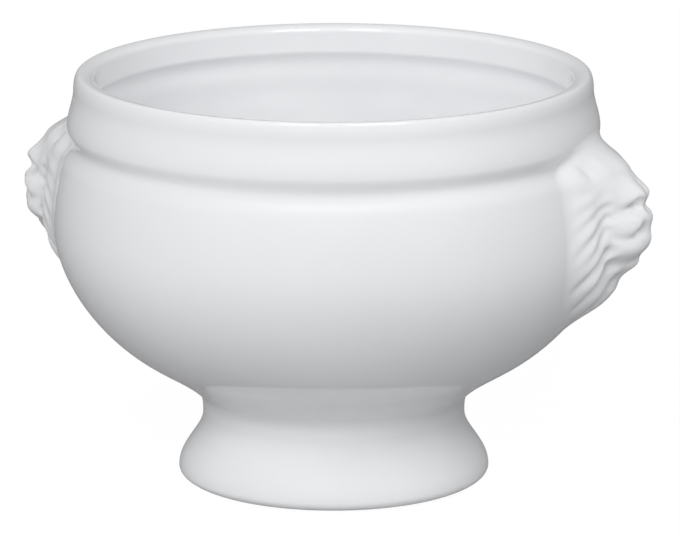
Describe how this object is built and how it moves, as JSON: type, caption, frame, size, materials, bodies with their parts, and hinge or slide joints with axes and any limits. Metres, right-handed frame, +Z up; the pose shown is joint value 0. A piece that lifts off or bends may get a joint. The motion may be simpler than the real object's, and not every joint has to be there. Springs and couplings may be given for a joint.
{
  "type": "footed soup bowl",
  "caption": "Round footed soup crock with a collared rim, a full belly, a hollow pedestal foot and lion-head handles on opposite sides.",
  "frame": {"origin": "centre of the flat ring that the foot stands on, on the table plane", "axes": "+Z up along the axis of the bowl, +X out through the middle of the right lion head"},
  "size_m": [0.1448, 0.1234, 0.092],
  "materials": {
    "glazed_porcelain": "gloss"
  },
  "bodies": {
    "root": {"bowl": "glazed_porcelain", "pedestal_foot": "glazed_porcelain", "lion_head_left": "glazed_porcelain", "lion_head_right": "glazed_porcelain"}
  },
  "joints": []
}
